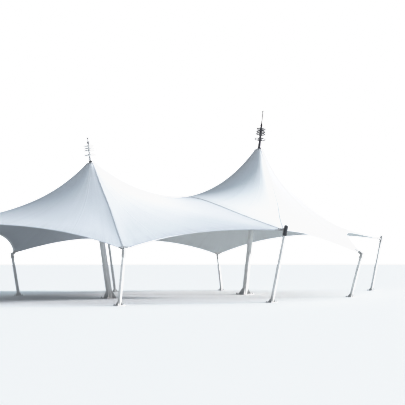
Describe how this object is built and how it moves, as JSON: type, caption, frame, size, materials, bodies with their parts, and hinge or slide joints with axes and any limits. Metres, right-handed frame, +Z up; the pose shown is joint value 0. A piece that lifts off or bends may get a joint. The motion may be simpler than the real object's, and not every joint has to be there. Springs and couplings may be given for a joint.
{
  "type": "two-peak tensile membrane canopy",
  "caption": "White tensioned membrane canopy with two conical peaks on leaning masts, scalloped cable edges, leaning rim posts and finials.",
  "frame": {"origin": "ground level midway between the two mast feet, at the centre of the plan", "axes": "+X along the canopy from the lower peak to the taller peak, +Y away from the pictured front, +Z up"},
  "size_m": [29.9566, 16.197, 10.1104],
  "materials": {
    "white_membrane": "smooth coated cloth, slightly translucent",
    "painted_steel": "satin light grey paint",
    "dark_steel": "weathered dark grey paint",
    "wire_rope": "bare stranded steel",
    "cap_sheet": "satin pale paint"
  },
  "bodies": {
    "root": {"left_membrane": "white_membrane", "right_membrane": "white_membrane", "left_mast": "painted_steel", "right_mast": "painted_steel", "post_front_left": "painted_steel", "post_front_valley": "painted_steel", "post_front_right": "painted_steel", "post_right_tip": "painted_steel", "post_back_right": "painted_steel", "post_back_valley": "painted_steel", "post_back_left": "painted_steel", "post_left_tip": "painted_steel", "corner_fitting_front_left": "painted_steel", "corner_fitting_front_valley": "dark_steel", "corner_fitting_front_right": "painted_steel", "corner_fitting_right_tip": "painted_steel", "corner_fitting_back_right": "painted_steel", "corner_fitting_back_valley": "dark_steel", "corner_fitting_back_left": "painted_steel", "corner_fitting_left_tip": "painted_steel", "edge_cable_left_tip_to_front_left": "wire_rope", "edge_cable_front_left_to_front_valley": "wire_rope", "edge_cable_front_valley_to_front_right": "wire_rope", "edge_cable_front_right_to_right_tip": "wire_rope", "edge_cable_right_tip_to_back_right": "wire_rope", "edge_cable_back_right_to_back_valley": "wire_rope", "edge_cable_back_valley_to_back_left": "wire_rope", "edge_cable_back_left_to_left_tip": "wire_rope", "valley_cable": "wire_rope", "left_peak_ring": "painted_steel", "left_rain_cap": "cap_sheet", "left_finial_tube": "dark_steel", "left_finial_rod": "dark_steel", "right_peak_ring": "painted_steel", "right_rain_cap": "cap_sheet", "right_finial_tube": "dark_steel", "right_finial_rod": "dark_steel"}
  },
  "joints": []
}
